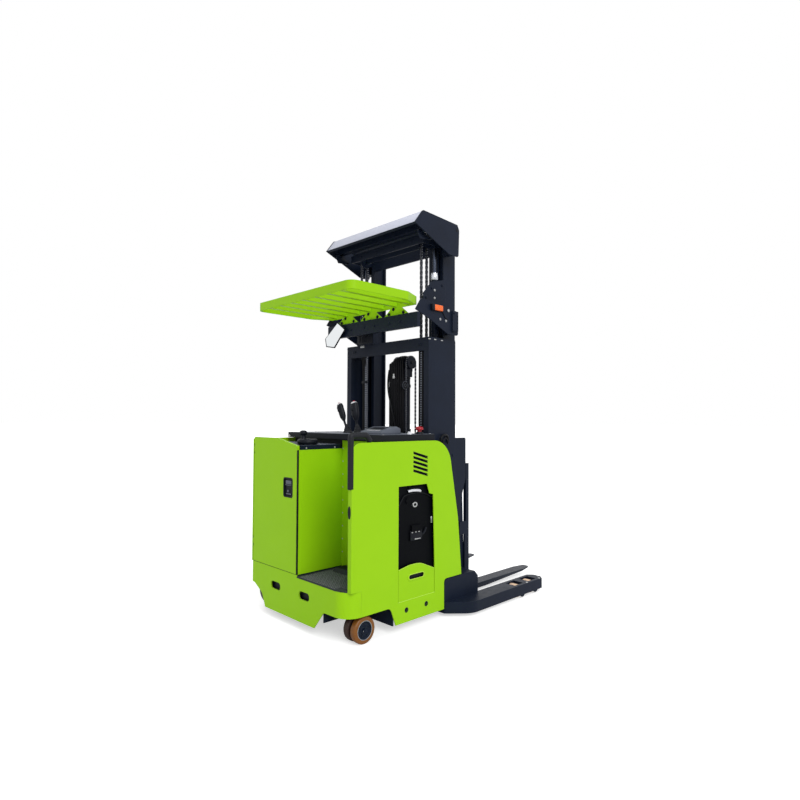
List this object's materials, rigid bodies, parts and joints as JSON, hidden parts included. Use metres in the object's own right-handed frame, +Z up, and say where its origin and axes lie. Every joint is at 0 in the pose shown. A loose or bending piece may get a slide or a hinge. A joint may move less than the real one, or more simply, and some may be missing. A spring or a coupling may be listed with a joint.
{
  "type": "reach truck",
  "caption": "Rear-entry stand-up reach truck with straddle legs, three-stage mast, scissor reach and overhead guard.",
  "frame": {"origin": "on the floor, halfway between the rear face and the fork tips, on the centre plane", "axes": "+X forward to the fork tips, +Y to the left, +Z up"},
  "size_m": [2.41, 1.49, 2.9942],
  "materials": {
    "green_paint": "semi-gloss powder coat",
    "black_steel": "satin enamel",
    "pale_polyurethane": "cast polyurethane",
    "brown_polyurethane": "cast polyurethane",
    "amber_polyurethane": "cast polyurethane",
    "ribbed_rubber": "moulded rubber",
    "soft_grip": "foamed grip",
    "black_plastic": "grained ABS",
    "grey_plastic": "grained ABS",
    "cast_housing": "painted casting",
    "battery_steel": "matt enamel",
    "forged_steel": "worn enamel",
    "red_plastic": "gloss",
    "orange_lens": "ribbed lens",
    "mirror_glass": "convex mirror",
    "chain_steel": "oiled chain"
  },
  "bodies": {
    "truck": {"battery": "battery_steel", "battery_tray": "black_steel", "bulkhead": "black_steel", "cabinet_top": "black_steel", "cabinet_wall": "green_paint", "compartment_wall": "green_paint", "console": "black_plastic", "control_levers": "black_plastic", "corner_strip": "green_paint", "display_pad": "grey_plastic", "door_hinges": "black_steel", "drive_bay": "black_steel", "emergency_stop": "red_plastic", "floor_mat": "ribbed_rubber", "floor_pedal": "ribbed_rubber", "gate_left": "green_paint", "gate_right": "green_paint", "guard_beam": "black_steel", "hand_grip": "soft_grip", "leg_left": "black_steel", "leg_right": "black_steel", "lift_cylinder_left": "black_steel", "lift_cylinder_right": "black_steel", "mast_base": "black_steel", "mast_outer": "black_steel", "mirror_frame": "black_plastic", "operator_deck": "black_steel", "overhead_guard": "green_paint", "panel_left": "green_paint", "panel_right": "green_paint", "rear_mirror": "mirror_glass", "rear_skirt": "green_paint", "top_guard": "black_steel", "warning_lamp": "orange_lens"},
    "door": {"rear_door": "green_paint", "door_latch": "black_plastic"},
    "drive_unit": {"drive_gearbox": "cast_housing", "drive_motor": "cast_housing"},
    "drive_wheel": {"drive_wheel": "brown_polyurethane"},
    "caster": {"caster_fork": "black_steel"},
    "caster_wheels": {"caster_wheels": "amber_polyurethane"},
    "load_wheel_left_rear": {"load_wheel_left_rear": "pale_polyurethane"},
    "load_wheel_left_front": {"load_wheel_left_front": "pale_polyurethane"},
    "load_wheel_right_rear": {"load_wheel_right_rear": "pale_polyurethane"},
    "load_wheel_right_front": {"load_wheel_right_front": "pale_polyurethane"},
    "mast_middle": {"mast_middle": "black_steel", "lift_chain_left": "chain_steel", "lift_chain_right": "chain_steel"},
    "mast_inner": {"mast_inner": "black_steel", "centre_cylinder": "black_steel"},
    "crosshead": {"crosshead": "black_steel", "free_lift_chains": "chain_steel"},
    "lift_carriage": {"lift_carriage": "black_steel"},
    "reach_arm_a": {"reach_arm_a": "black_steel"},
    "reach_arm_b": {"reach_arm_b": "black_steel"},
    "reach_carriage": {"reach_carriage": "black_steel"},
    "fork_frame": {"fork_frame": "black_steel", "fork_left": "forged_steel", "fork_right": "forged_steel"},
    "steering_wheel": {"steering_wheel": "black_plastic"}
  },
  "joints": [
    {"name": "door_hinge", "type": "hinge", "parent": "truck", "child": "door", "pos_m": [-1.2005, 0.523, 0.8], "axis": [0, 0, -1], "range_deg": [0, 90]},
    {"name": "drive_steer", "type": "hinge", "parent": "truck", "child": "drive_unit", "pos_m": [-1.013, 0.414, 0.4], "axis": [0, 0, 1], "range_deg": [-90, 90]},
    {"name": "drive_wheel_spin", "type": "hinge", "parent": "drive_unit", "child": "drive_wheel", "pos_m": [-1.013, 0.414, 0.165], "axis": [0, 1, 0], "continuous": true},
    {"name": "caster_swivel", "type": "hinge", "parent": "truck", "child": "caster", "pos_m": [-1.003, -0.529, 0.2], "axis": [0, 0, 1], "continuous": true},
    {"name": "caster_wheels_spin", "type": "hinge", "parent": "caster", "child": "caster_wheels", "pos_m": [-1.038, -0.529, 0.089], "axis": [0, 1, 0], "continuous": true},
    {"name": "load_wheel_left_rear_spin", "type": "hinge", "parent": "truck", "child": "load_wheel_left_rear", "pos_m": [0.508, 0.67, 0.051], "axis": [0, 1, 0], "continuous": true},
    {"name": "load_wheel_left_front_spin", "type": "hinge", "parent": "truck", "child": "load_wheel_left_front", "pos_m": [0.699, 0.67, 0.051], "axis": [0, 1, 0], "continuous": true},
    {"name": "load_wheel_right_rear_spin", "type": "hinge", "parent": "truck", "child": "load_wheel_right_rear", "pos_m": [0.508, -0.67, 0.051], "axis": [0, 1, 0], "continuous": true},
    {"name": "load_wheel_right_front_spin", "type": "hinge", "parent": "truck", "child": "load_wheel_right_front", "pos_m": [0.699, -0.67, 0.051], "axis": [0, 1, 0], "continuous": true},
    {"name": "mast_middle_lift", "type": "slide", "parent": "truck", "child": "mast_middle", "axis": [0, 0, 1], "range_m": [0, 2.2]},
    {"name": "mast_inner_lift", "type": "slide", "parent": "mast_middle", "child": "mast_inner", "axis": [0, 0, 1], "range_m": [0, 2.2]},
    {"name": "free_lift", "type": "slide", "parent": "mast_inner", "child": "crosshead", "axis": [0, 0, 1], "range_m": [0, 0.75]},
    {"name": "carriage_lift", "type": "slide", "parent": "mast_inner", "child": "lift_carriage", "axis": [0, 0, 1], "range_m": [0, 1.5]},
    {"name": "reach", "type": "hinge", "parent": "lift_carriage", "child": "reach_arm_a", "pos_m": [0.078, -0.426, 1.04], "axis": [0, -1, 0], "range_deg": [0, 45.27]},
    {"name": "reach_arm_cross", "type": "hinge", "parent": "reach_arm_a", "child": "reach_arm_b", "pos_m": [0.0915, -0.4, 0.64023], "axis": [0, -1, 0], "range_deg": [-90.55, 0.01]},
    {"name": "reach_carriage_level", "type": "hinge", "parent": "reach_arm_b", "child": "reach_carriage", "pos_m": [0.105, -0.4, 1.04], "axis": [0, -1, 0], "range_deg": [-0.01, 45.28]},
    {"name": "fork_tilt", "type": "hinge", "parent": "reach_carriage", "child": "fork_frame", "pos_m": [0.117, 0, 0.15], "axis": [0, -1, 0], "range_deg": [-4, 3]},
    {"name": "steering_wheel_turn", "type": "hinge", "parent": "truck", "child": "steering_wheel", "pos_m": [-1.054, 0.04, 1.26], "axis": [0, 0, 1], "range_deg": [-360, 360]}
  ],
  "couplings": [
    {"joint": "mast_inner_lift", "follows": "mast_middle_lift", "ratio": 1},
    {"joint": "carriage_lift", "follows": "free_lift", "ratio": 2},
    {"joint": "reach_arm_cross", "follows": "reach", "ratio": -2},
    {"joint": "reach_carriage_level", "follows": "reach", "ratio": 1},
    {"joint": "steering_wheel_turn", "follows": "drive_steer", "ratio": 4}
  ]
}
